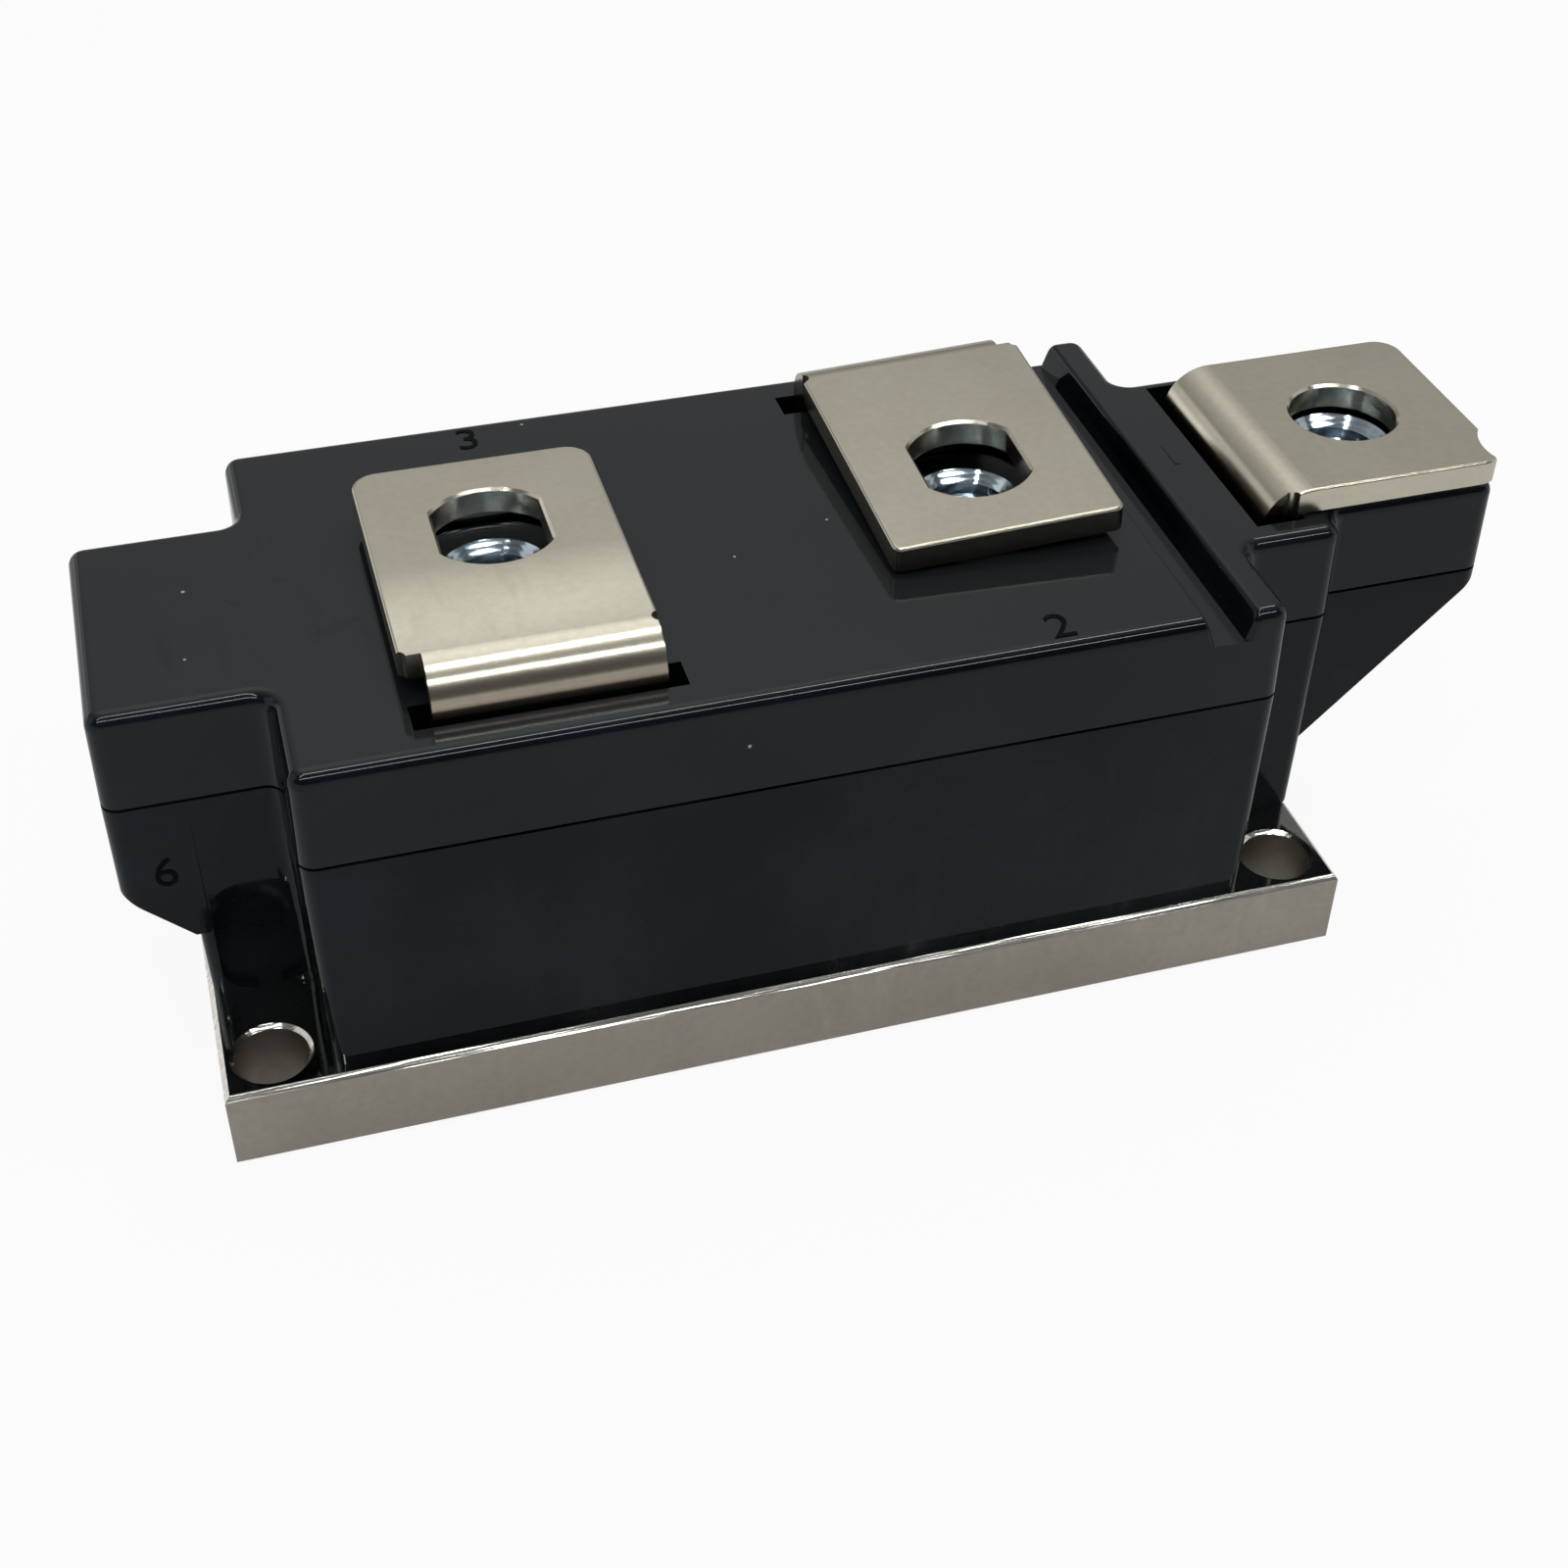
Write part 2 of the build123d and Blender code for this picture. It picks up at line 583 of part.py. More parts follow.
def spring(x, low, outer_down):
    """Conical disc spring resting on its outer or on its inner edge."""
    inner_r = CAP_PIN_D / 2 + SPRING_BORE_CLEARANCE
    outer_r = SPRING_D / 2
    outer_z = low if outer_down else low + SPRING_CONE
    inner_z = low + SPRING_CONE if outer_down else low
    with BuildPart() as washer:
        with BuildSketch(Plane.XZ):
            with BuildLine():
                Polyline(
                    (inner_r, inner_z),
                    (outer_r, outer_z),
                    (outer_r, outer_z + SPRING_THICKNESS),
                    (inner_r, inner_z + SPRING_THICKNESS),
                    close=True,
                )
            make_face()
        revolve(axis=Axis.Z)
    washer.part = washer.part.moved(Location((x, 0, 0)))
    return washer


# The two diode stacks
for side, x in (("left", -STACK_X), ("right", STACK_X)):
    keep(disc(x, base_top, ceramic_top, CERAMIC_D), f"{side}_insulating_disc")
    keep(disc(x, low_bar_top, lower_disc_top, LOWER_DISC_D), f"{side}_lower_contact_disc")
    keep(disc(x, lower_disc_top, chip_top, LOWER_DISC_D), f"{side}_diode_chip")
    keep(disc(x, chip_top, upper_disc_top, UPPER_DISC_D), f"{side}_upper_contact_disc")
    # Guard ring that centres the chip and the contact disc above it
    rim_r = LOWER_DISC_D / 2 + GUARD_CLEARANCE
    with BuildPart() as guard_ring:
        with BuildSketch(Plane.XY.offset(lower_disc_top - GUARD_DROP)):
            with Locations((x, 0)):
                Circle(rim_r + GUARD_WALL)
        extrude(amount=GUARD_DROP + CHIP_THICKNESS + GUARD_RISE)
        with BuildSketch(Plane.XY.offset(lower_disc_top - GUARD_DROP)):
            with Locations((x, 0)):
                Circle(rim_r)
        extrude(amount=GUARD_DROP + CHIP_THICKNESS, mode=Mode.SUBTRACT)
        with BuildSketch(Plane.XY.offset(chip_top)):
            with Locations((x, 0)):
                Circle(UPPER_DISC_D / 2 + GUARD_CLEARANCE)
        extrude(amount=GUARD_RISE, mode=Mode.SUBTRACT)
    keep(guard_ring, f"{side}_guard_ring")
    # Pressure cap with a pin that centres the two springs
    with BuildPart() as pressure_cap:
        with BuildSketch(Plane.XY.offset(high_bar_top)):
            with Locations((x, 0)):
                Circle(CAP_D / 2)
        extrude(amount=CAP_THICKNESS)
        with BuildSketch(Plane.XY.offset(cap_top)):
            with Locations((x, 0)):
                Circle(CAP_PIN_D / 2)
        extrude(amount=CAP_PIN_HEIGHT)
    keep(pressure_cap, f"{side}_pressure_cap")
    keep(spring(x, cap_top, True), f"{side}_lower_spring")
    keep(spring(x, cap_top + spring_height / 2, False), f"{side}_upper_spring")
    with BuildPart() as clamp_plate:
        with BuildSketch(Plane.XY.offset(spring_top)):
            with Locations((x, 0)):
                RectangleRounded(CLAMP_SIZE, CLAMP_SIZE, CLAMP_CORNER)
                with GridLocations(SCREW_SPACING, SCREW_SPACING, 2, 2):
                    Circle(SCREW_D / 2 + SCREW_CLEARANCE, mode=Mode.SUBTRACT)
        extrude(amount=CLAMP_THICKNESS)
    keep(clamp_plate, f"{side}_clamp_plate")
    with BuildPart() as clamp_screws:
        with BuildSketch(Plane.XY.offset(clamp_top)):
            with Locations((x, 0)):
                with GridLocations(SCREW_SPACING, SCREW_SPACING, 2, 2):
                    Circle(SCREW_HEAD_D / 2)
        extrude(amount=SCREW_HEAD_HEIGHT)
        with BuildSketch(Plane.XY.offset(clamp_top + SCREW_HEAD_HEIGHT)):
            with Locations((x, 0)):
                with GridLocations(SCREW_SPACING, SCREW_SPACING, 2, 2):
                    RegularPolygon(SCREW_SOCKET_ACROSS / 2, 6, major_radius=False)
        extrude(amount=-SCREW_SOCKET_DEPTH, mode=Mode.SUBTRACT)
        with BuildSketch(Plane.XY.offset(clamp_top)):
            with Locations((x, 0)):
                with GridLocations(SCREW_SPACING, SCREW_SPACING, 2, 2):
                    Circle(SCREW_D / 2)
        extrude(amount=-(clamp_top - base_top + SCREW_REACH))
    keep(clamp_screws, f"{side}_clamp_screws")
    with BuildPart() as screw_sleeves:
        with BuildSketch(Plane.XY.offset(base_top + SLEEVE_CLEARANCE)):
            with Locations((x, 0)):
                with GridLocations(SCREW_SPACING, SCREW_SPACING, 2, 2):
                    Circle(SLEEVE_D / 2)
                    Circle(SCREW_D / 2 + SCREW_CLEARANCE, mode=Mode.SUBTRACT)
        extrude(amount=spring_top - base_top - 2 * SLEEVE_CLEARANCE)
    keep(screw_sleeves, f"{side}_screw_sleeves")
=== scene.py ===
# %% [markdown]
# # Dressing a rectifier diode module
# The real object is a black moulded block on a thick nickel-plated plate, with three bent metal
# straps over nuts in its deck. The solids come ready made, so this lesson gives them their
# finishes, adds the fine pieces that a solid model leaves out, and sets the light and camera.

# %% Load the solids
import math
import bmesh
import bpy
from mathutils import Matrix, Vector


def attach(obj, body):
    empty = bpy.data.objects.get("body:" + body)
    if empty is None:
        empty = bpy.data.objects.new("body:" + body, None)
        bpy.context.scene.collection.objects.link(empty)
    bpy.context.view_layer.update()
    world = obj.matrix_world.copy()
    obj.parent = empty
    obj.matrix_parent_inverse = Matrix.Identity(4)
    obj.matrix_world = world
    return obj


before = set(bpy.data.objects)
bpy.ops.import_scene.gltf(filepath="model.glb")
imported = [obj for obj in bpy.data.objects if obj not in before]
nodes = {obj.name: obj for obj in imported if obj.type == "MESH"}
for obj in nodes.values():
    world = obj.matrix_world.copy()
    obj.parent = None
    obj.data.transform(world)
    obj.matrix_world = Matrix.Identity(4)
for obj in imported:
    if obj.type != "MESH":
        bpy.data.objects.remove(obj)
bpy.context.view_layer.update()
MM = 0.001

# %% [markdown]
# ## The camera
# The camera stands where the photographer's did: above the front left corner, looking down at
# about 39 degrees. Its turn is written as three directions, so it can be checked by eye. The
# small shift only puts the object where it is in the frame.

# %% Camera
CAMERA_AT = Vector((-37.966, -139.291, 129.845)) * MM
CAMERA_RIGHT = Vector((0.95846, -0.28494, 0.01242))
CAMERA_DOWN = Vector((-0.17124, -0.60972, -0.77390))
CAMERA_FORWARD = Vector((0.22809, 0.73964, -0.63319))
FOCAL_PX = 2350.4
FRAME_PX = 1600.0
CENTRE_PX = (812.5, 774.9)
SENSOR_MM = 36.0
NEAREST_MM = 5.0

camera_data = bpy.data.cameras.new("photo_camera")
camera_data.sensor_width = SENSOR_MM
camera_data.lens = FOCAL_PX / FRAME_PX * SENSOR_MM
camera_data.shift_x = (FRAME_PX / 2 - CENTRE_PX[0]) / FRAME_PX
camera_data.shift_y = (CENTRE_PX[1] - FRAME_PX / 2) / FRAME_PX
camera_data.clip_start = NEAREST_MM * MM
camera_data.dof.use_dof = False
camera = bpy.data.objects.new("photo_camera", camera_data)
bpy.context.scene.collection.objects.link(camera)
camera_turn = Matrix((CAMERA_RIGHT, -CAMERA_DOWN, -CAMERA_FORWARD)).transposed()
camera.matrix_world = Matrix.Translation(CAMERA_AT) @ camera_turn.to_4x4()
bpy.context.scene.camera = camera
print("lens in mm:", round(camera_data.lens, 2))

# %% [markdown]
# ## Joining nodes
# The room, the floor and every finish are small networks of nodes. These helpers keep them
# short: each makes one node, fills its inputs with plain values or with links from other nodes,
# and hands back the output that the next node needs.

# %% Node helpers
def feed(tree, socket, value):
    """Fills an input: a link from another socket, a colour of three numbers, or one number."""
    if isinstance(value, bpy.types.NodeSocket):
        tree.links.new(value, socket)
    elif isinstance(value, tuple):
        socket.default_value = (*value, 1)
    else:
        socket.default_value = value


def add_math(tree, operation, first, second=None, clamp=False):
    """Math node on one or two values."""
    node = tree.nodes.new("ShaderNodeMath")
    node.operation = operation
    node.use_clamp = clamp
    feed(tree, node.inputs[0], first)
    if second is not None:
        feed(tree, node.inputs[1], second)
    return node.outputs[0]


def mix_colour(tree, factor, first, second, blend="MIX"):
    """Colour mix. In Blender 4.5 a Mix node's colours are its inputs 6 and 7, and output 2."""
    node = tree.nodes.new("ShaderNodeMix")
    node.data_type = "RGBA"
    node.blend_type = blend
    for number, value in ((0, factor), (6, first), (7, second)):
        feed(tree, node.inputs[number], value)
    return node.outputs[2]


def coordinates(tree, kind="Object"):
    """One output of a Texture Coordinate node."""
    return tree.nodes.new("ShaderNodeTexCoord").outputs[kind]


def axis_parts(tree, vector):
    """The X, Y and Z outputs of a vector."""
    node = tree.nodes.new("ShaderNodeSeparateXYZ")
    feed(tree, node.inputs["Vector"], vector)
    return node.outputs


# %% [markdown]
# ## The light
# Glossy black plastic is seen almost only by what it mirrors. A wide glow high behind the
# module gives the deck its grey sheen and the straps their gradient from back to front. Two
# long narrow lamps, one overhead and one behind the camera, draw the pair of fine white lines
# along the rounded edges. The rest of the room stays dim, so the lower half of each rounded edge
# turns black, as it does on the real one.

# %% Lamps
OBJECT_MIDDLE = Vector((0.005, 0.0, 0.03))
LAMPS = [
    # name, place, width and height in metres, brightness seen in a mirror
    ("left_softbox", (-0.95, 0.10, 0.50), (0.7, 0.7), 0.54),
    ("left_back_softbox", (-0.75, 0.80, 0.22), (0.8, 0.5), 0.48),
    ("right_softbox", (0.95, -0.10, 0.45), (0.6, 0.6), 0.54),
    ("overhead_tube", (0.05, -0.07, 1.0), (1.3, 0.045), 20.0),
    ("front_tube", (0.05, -0.60, 0.84), (1.3, 0.045), 20.0),
]

for name, lamp_place, (width, height), brightness in LAMPS:
    lamp = bpy.data.lights.new(name, "AREA")
    lamp.shape = "RECTANGLE"
    lamp.size, lamp.size_y = width, height
    lamp.energy = brightness * math.pi * width * height
    holder = bpy.data.objects.new(name, lamp)
    bpy.context.scene.collection.objects.link(holder)
    away = (Vector(lamp_place) - OBJECT_MIDDLE).to_track_quat("Z", "Y").to_matrix().to_4x4()
    holder.matrix_world = Matrix.Translation(lamp_place) @ away
print("lamps:", len(LAMPS))

# %% [markdown]
# ## The room
# The glow is part of the world. It depends only on the angle from one direction, so it has no
# edge that a mirror could show. A pale band near the horizon stands for the far walls. The
# camera itself sees a plain white room, and mirrors see a little of that white too.

# %% Room
GLOW_TOWARDS = Vector((0.07, 0.47, 0.88)).normalized()
GLOW_STEPS = [
    # degrees from that direction, brightness
    (90.0, 0.05),
    (62.0, 0.07),
    (50.0, 0.22),
    (40.0, 0.38),
    (30.0, 0.48),
    (22.0, 0.69),
    (12.0, 1.2),
    (5.0, 1.38),
]
HORIZON_STEPS = [(0.10, 0.59), (0.20, 0.0)]
ROOM_WHITE = (0.97, 0.97, 0.97)
MIRROR_GLOW_SHARE = 0.03

room = bpy.data.worlds.new("studio_room")
room.use_nodes = True
bpy.context.scene.world = room
room_tree = room.node_tree


def brightness_ramp(tree, value, steps):
    """Colour ramp in plain greys from (position, brightness) steps."""
    node = tree.nodes.new("ShaderNodeValToRGB")
    node.color_ramp.interpolation = "EASE"
    feed(tree, node.inputs["Fac"], value)
    stops = node.color_ramp.elements
    while len(stops) < len(steps):
        stops.new(0.5)
    for stop, (position, brightness) in zip(stops, sorted(steps)):
        stop.position = position
        stop.color = (brightness, brightness, brightness, 1)
    return node.outputs["Color"]


def white_share(tree, camera_share):
    """How much of a plain white a ray sees: the camera's rays much, a mirror's a little."""
    rays = tree.nodes.new("ShaderNodeLightPath").outputs
    by_camera = add_math(tree, "MULTIPLY", rays["Is Camera Ray"], camera_share)
    mirrored = add_math(tree, "MAXIMUM", rays["Is Glossy Ray"], rays["Is Transmission Ray"])
    by_mirror = add_math(tree, "MULTIPLY", mirrored, MIRROR_GLOW_SHARE)
    return add_math(tree, "MAXIMUM", by_camera, by_mirror)


direction = coordinates(room_tree, "Generated")
towards = room_tree.nodes.new("ShaderNodeVectorMath")
towards.operation = "DOT_PRODUCT"
towards.inputs[1].default_value = GLOW_TOWARDS
feed(room_tree, towards.inputs[0], direction)
glow_steps = [(math.cos(math.radians(angle)), brightness) for angle, brightness in GLOW_STEPS]
glow_light = brightness_ramp(room_tree, towards.outputs["Value"], glow_steps)
horizon_light = brightness_ramp(room_tree, axis_parts(room_tree, direction)["Z"], HORIZON_STEPS)
room_light = mix_colour(room_tree, 1.0, glow_light, horizon_light, "LIGHTEN")
room_colour = mix_colour(room_tree, white_share(room_tree, 1.0), room_light, ROOM_WHITE)
feed(room_tree, room_tree.nodes["Background"].inputs["Color"], room_colour)
print("room nodes:", len(room_tree.nodes))

# %% [markdown]
# ## The floor
# The photograph's ground is plain white. The floor is a pale matt sheet that also glows evenly
# for the camera, and a little for mirror reflections, which keeps it white without throwing
# more light on the object. The matt share still takes the module's shadow.

# %% Floor
FLOOR_RADIUS = 6.0
FLOOR_DROP_MM = 0.05
FLOOR_TONE = (0.70, 0.70, 0.70)
CAMERA_GLOW_SHARE = 0.92

floor_mesh = bpy.data.meshes.new("floor")
bm = bmesh.new()
bmesh.ops.create_circle(bm, cap_ends=True, segments=64, radius=FLOOR_RADIUS)
bmesh.ops.translate(bm, verts=bm.verts, vec=(0, 0, -FLOOR_DROP_MM * MM))
bm.to_mesh(floor_mesh)
bm.free()
floor = bpy.data.objects.new("floor", floor_mesh)
bpy.context.scene.collection.objects.link(floor)

floor_finish = bpy.data.materials.new("pale_floor")
floor_finish.use_nodes = True
tree = floor_finish.node_tree
tree.nodes.clear()
matt = tree.nodes.new("ShaderNodeBsdfDiffuse")
feed(tree, matt.inputs["Color"], FLOOR_TONE)
glow = tree.nodes.new("ShaderNodeEmission")
mixer = tree.nodes.new("ShaderNodeMixShader")
shaders = (white_share(tree, CAMERA_GLOW_SHARE), matt.outputs[0], glow.outputs[0])
for number, value in enumerate(shaders):
    feed(tree, mixer.inputs[number], value)
floor_out = tree.nodes.new("ShaderNodeOutputMaterial")
feed(tree, floor_out.inputs["Surface"], mixer.outputs[0])
floor_mesh.materials.append(floor_finish)
print("floor radius in m:", FLOOR_RADIUS)

# %% [markdown]
# ## Shared surface effects
# Four effects turn up on the finishes: a cloudy mottling, fine dust specks, scattered wipe
# marks, and smudges put at a chosen place. Each is a node group made once, with its own named
# sliders, and every finish places it with its own values. All of them read Object coordinates
# in metres, so a pattern keeps its real size on every piece.

# %% Helpers for node groups
def new_group(name, **sliders):
    """Node group with a slider for each value, underscores standing for spaces, and one mask."""
    group = bpy.data.node_groups.new(name, "ShaderNodeTree")
    for label, value in sliders.items():
        kind = "NodeSocketFloat"
        socket = group.interface.new_socket(label.replace("_", " "), in_out="INPUT", socket_type=kind)
        socket.default_value = value
    group.interface.new_socket("Mask", in_out="OUTPUT", socket_type="NodeSocketFloat")
    start = group.nodes.new("NodeGroupInput")
    end = group.nodes.new("NodeGroupOutput")
    return group, start.outputs, end.inputs["Mask"]


def add_noise(tree, vector, scale, detail, roughness):
    """Noise texture from 0 to 1."""
    node = tree.nodes.new("ShaderNodeTexNoise")
    settings = {"Vector": vector, "Scale": scale, "Detail": detail, "Roughness": roughness}
    for label, value in settings.items():
        feed(tree, node.inputs[label], value)
    return node.outputs["Fac"]


def add_range(tree, value, low, high, out_low=0.0, out_high=1.0):
    """Map Range node, smooth at both ends. With low above high it falls instead of rising."""
    node = tree.nodes.new("ShaderNodeMapRange")
    node.interpolation_type = "SMOOTHSTEP"
    settings = {"Value": value, "From Min": low, "From Max": high, "To Min": out_low, "To Max": out_high}
    for label, bound in settings.items():
        feed(tree, node.inputs[label], bound)
    return node.outputs["Result"]


def mapped(tree, vector, location=(0.0, 0.0, 0.0), turn_degrees=0.0, scale=(1.0, 1.0, 1.0)):
    """Moves, turns about Z or stretches a pattern's coordinates."""
    node = tree.nodes.new("ShaderNodeMapping")
    feed(tree, node.inputs["Vector"], vector)
    node.inputs["Location"].default_value = location
    node.inputs["Rotation"].default_value = (0.0, 0.0, math.radians(turn_degrees))
    node.inputs["Scale"].default_value = scale
    return node.outputs["Vector"]


# %% Cloudy mottling
mottle_group, mottle_in, mottle_out = new_group(
    "cloudy_mottling", Broad_Scale=90.0, Fine_Scale=900.0, Fine_Share=0.3
)
place = coordinates(mottle_group)
broad = add_noise(mottle_group, place, mottle_in["Broad Scale"], 4.0, 0.55)
fine = add_noise(mottle_group, place, mottle_in["Fine Scale"], 5.0, 0.6)
fine_part = add_math(mottle_group, "MULTIPLY", fine, mottle_in["Fine Share"])
broad_share = add_math(mottle_group, "SUBTRACT", 1.0, mottle_in["Fine Share"])
broad_part = add_math(mottle_group, "MULTIPLY", broad, broad_share)
both = add_math(mottle_group, "ADD", broad_part, fine_part)
feed(mottle_group, mottle_out, add_range(mottle_group, both, 0.3, 0.7))
print(mottle_group.name, "nodes:", len(mottle_group.nodes))

# %% Dust specks
dust_group, dust_in, dust_out = new_group("dust_specks", Scale=260.0, Size=0.09, Amount=0.10)
cells = dust_group.nodes.new("ShaderNodeTexVoronoi")
feed(dust_group, cells.inputs["Vector"], coordinates(dust_group))
feed(dust_group, cells.inputs["Scale"], dust_in["Scale"])
spot = add_math(dust_group, "LESS_THAN", cells.outputs["Distance"], dust_in["Size"])
pick = dust_group.nodes.new("ShaderNodeSeparateColor")
feed(dust_group, pick.inputs["Color"], cells.outputs["Color"])
chosen = add_math(dust_group, "LESS_THAN", pick.outputs["Red"], dust_in["Amount"])
feed(dust_group, dust_out, add_math(dust_group, "MULTIPLY", spot, chosen))
print(dust_group.name, "nodes:", len(dust_group.nodes))

# %% Wipe marks
WIPE_TURN = 35.0
WIPE_STRETCH = (5.0, 1.0, 1.0)
PATCH_SCALE = 38.0

wipe_group, wipe_in, wipe_out = new_group("wipe_marks", Scale=60.0, Amount=0.35)
place = coordinates(wipe_group)
stretched = mapped(wipe_group, place, turn_degrees=WIPE_TURN, scale=WIPE_STRETCH)
streak = add_noise(wipe_group, stretched, wipe_in["Scale"], 5.0, 0.6)
patch = add_noise(wipe_group, place, PATCH_SCALE, 2.0, 0.5)
streak_mask = add_range(wipe_group, streak, 0.52, 0.66)
patch_mask = add_range(wipe_group, patch, 0.5, 0.62)
marks = add_math(wipe_group, "MULTIPLY", streak_mask, patch_mask)
feed(wipe_group, wipe_out, add_math(wipe_group, "MULTIPLY", marks, wipe_in["Amount"]))
print(wipe_group.name, "nodes:", len(wipe_group.nodes))

# %% [markdown]
# A placed smudge is an oval round a point of the deck. Each point of the surface is moved and
# turned into the oval's own directions, divided by its two half sizes, and is inside where the
# squares add up to less than 1. A little noise tears the rim.

# %% Placed smudges
SMUDGE_GRAIN = 1500.0
SMUDGE_TEAR = 3.0

smudge_group, smudge_in, smudge_out = new_group(
    "placed_smudge", X_mm=0.0, Y_mm=0.0, Turn=0.0, Half_Length_mm=1.0, Half_Width_mm=0.3, Ragged=0.5
)


def smudge_math(operation, first, second=None):
    """Math node inside the smudge group."""
    return add_math(smudge_group, operation, first, second)


place = coordinates(smudge_group)
parts = axis_parts(smudge_group, place)
off_x = smudge_math("SUBTRACT", smudge_math("DIVIDE", parts["X"], MM), smudge_in["X mm"])
off_y = smudge_math("SUBTRACT", smudge_math("DIVIDE", parts["Y"], MM), smudge_in["Y mm"])
cosine = smudge_math("COSINE", smudge_in["Turn"])
sine = smudge_math("SINE", smudge_in["Turn"])
along = smudge_math("ADD", smudge_math("MULTIPLY", off_x, cosine), smudge_math("MULTIPLY", off_y, sine))
across = smudge_math("SUBTRACT", smudge_math("MULTIPLY", off_y, cosine), smudge_math("MULTIPLY", off_x, sine))
along = smudge_math("DIVIDE", along, smudge_in["Half Length mm"])
across = smudge_math("DIVIDE", across, smudge_in["Half Width mm"])
squares = smudge_math("ADD", smudge_math("MULTIPLY", along, along), smudge_math("MULTIPLY", across, across))
torn = smudge_math("SUBTRACT", add_noise(smudge_group, place, SMUDGE_GRAIN, 3.0, 0.6), 0.5)
torn = smudge_math("MULTIPLY", torn, smudge_in["Ragged"])
reach = smudge_math("ADD", squares, smudge_math("MULTIPLY", torn, SMUDGE_TEAR))
feed(smudge_group, smudge_out, add_range(smudge_group, reach, 1.2, 0.4))
print(smudge_group.name, "nodes:", len(smudge_group.nodes))

# %% [markdown]
# ## Building a finish
# Each finish is one Principled shader. Its plain numbers are set on the shader itself, and only
# what changes over the surface comes through nodes: colour, roughness and the bump.

# %% Finish helpers
def new_finish(name, colour, roughness, metallic=0.0, specular=0.5):
    """Material with a Principled shader and its plain values."""
    finish = bpy.data.materials.new(name)
    finish.use_nodes = True
    shader = finish.node_tree.nodes["Principled BSDF"]
    shader.inputs["Base Color"].default_value = (*colour, 1)
    shader.inputs["Roughness"].default_value = roughness
    shader.inputs["Metallic"].default_value = metallic
    shader.inputs["Specular IOR Level"].default_value = specular
    return finish, finish.node_tree, shader


def use_group(tree, group, **sliders):
    """Places a shared group and sets its sliders; underscores stand for spaces."""
    node = tree.nodes.new("ShaderNodeGroup")
    node.node_tree = group
    for label, value in sliders.items():
        node.inputs[label.replace("_", " ")].default_value = value
    return node.outputs["Mask"]


def weighted(tree, *terms):
    """Sum of masks, each with its weight."""
    total = 0.0
    for mask, weight in terms:
        part = add_math(tree, "MULTIPLY", mask, weight)
        total = add_math(tree, "ADD", part, total)
    return total


def complete(tree, shader, colour, roughness, relief, relief_mm):
    """Joins what changes over the surface to the shader. The relief's height is a real one."""
    feed(tree, shader.inputs["Base Color"], colour)
    feed(tree, shader.inputs["Roughness"], roughness)
    bump = tree.nodes.new("ShaderNodeBump")
    bump.inputs["Strength"].default_value = 1.0
    bump.inputs["Distance"].default_value = relief_mm * MM
    feed(tree, bump.inputs["Height"], relief)
    feed(tree, shader.inputs["Normal"], bump.outputs["Normal"])


# %% [markdown]
# ## Glossy black moulding
# The cover and the frame are moulded in the same black plastic. It is nearly a mirror, with a
# slight waviness from the mould, wipe marks where hands touched it, and a few dust specks. The
# two get separate finishes because the cover is smoother and more handled than the frame, and
# its deck gets a painted sheen, a lighter colour on faces that point up. The last smudge is the
# mould's fine seam by the groove.

# %% Plastic finishes
SMUDGES = [
    # x and y in mm, turn in radians, half length and half width in mm, how ragged
    (-34.5, 6.6, 1.35, 1.9, 0.45, 0.8),
    (-34.2, 2.9, 2.5, 1.9, 0.5, 0.8),
    (-37.2, 0.6, 2.3, 1.3, 0.4, 0.8),
    (-30.4, -4.6, 0.5, 2.6, 0.9, 0.8),
    (29.3, -9.5, 1.571, 7.5, 0.07, 0.1),
]
DUST_SPOTS = [
    # x, y and radius in mm
    (-40.4, 2.75, 0.16),
    (-41.0, -5.5, 0.12),
    (-1.1, -3.5, 0.12),
    (6.9, -0.6, 0.12),
    (30.4, -13.2, 0.14),
    (-12.5, 19.0, 0.14),
]
GLOSS_TINT = (0.90, 0.985, 1.03)
# Lighter colour on faces that point up: painted sheen on the deck.
DECK_PAINTED_SHEEN = (0.0105, 0.0130, 0.0142)
DUST_COLOUR = (0.35, 0.35, 0.33)
SPOT_COLOUR = (0.30, 0.30, 0.28)
DUST_RAGGED = 0.2
WIPED_SHARE = 0.35
WAVE_SCALE = 85.0
GRAIN_SCALE = 2600.0
# How steeply a face must point up to carry the painted sheen, from none to all of it.
SHEEN_FACING = (0.8, 0.98)


def placed_mark(tree, x, y, half_length, half_width, ragged, turn=0.0):
    """Mask of one smudge or spot on the deck."""
    sizes = {"Half_Length_mm": half_length, "Half_Width_mm": half_width}
    return use_group(tree, smudge_group, X_mm=x, Y_mm=y, Turn=turn, Ragged=ragged, **sizes)


